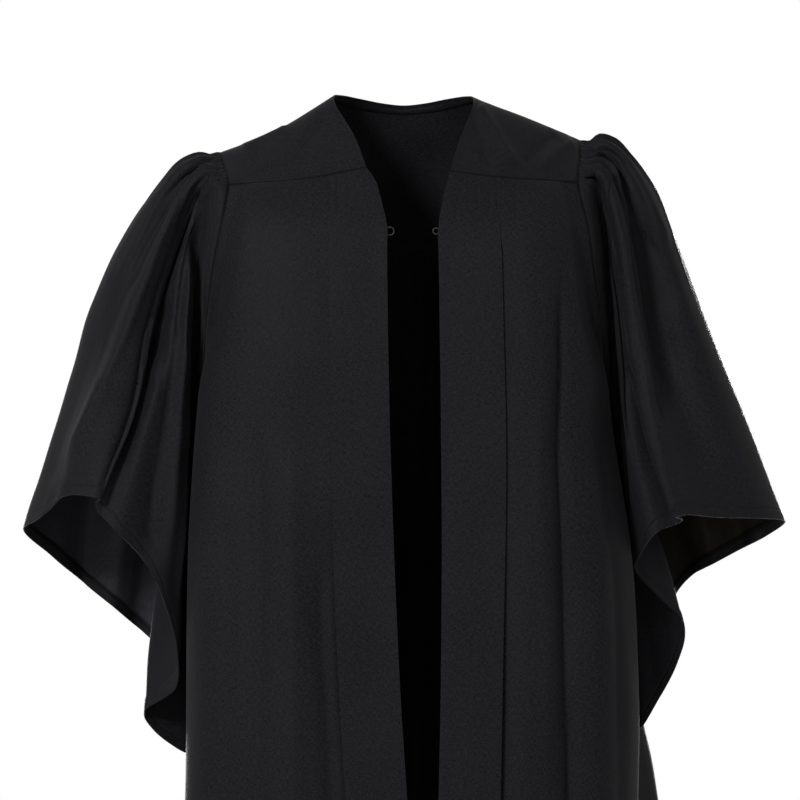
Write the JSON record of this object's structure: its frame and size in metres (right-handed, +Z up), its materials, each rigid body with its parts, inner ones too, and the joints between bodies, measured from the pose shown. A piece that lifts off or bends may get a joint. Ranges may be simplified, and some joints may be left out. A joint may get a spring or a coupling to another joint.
{
  "type": "graduation gown",
  "caption": "Open-fronted graduation gown in matte black cloth, in a hollow worn shape, with a plain yoke, straight front bands, gathered bell sleeves and a full gathered back.",
  "frame": {"origin": "middle of the neck, level with the two points where the neck edge crosses the shoulders", "axes": "+Z up along the garment's length, -Y out of its front, +X to the wearer's left"},
  "size_m": [0.7629, 0.3831, 1.1892],
  "materials": {
    "gown_cloth": "matte woven polyester",
    "hook_wire": "black lacquer"
  },
  "bodies": {
    "root": {"yoke": "gown_cloth", "front_left": "gown_cloth", "front_right": "gown_cloth", "front_band_left": "gown_cloth", "front_band_right": "gown_cloth", "back": "gown_cloth", "sleeve_left": "gown_cloth", "sleeve_right": "gown_cloth", "neck_hook": "hook_wire", "neck_eye": "hook_wire"}
  },
  "joints": []
}
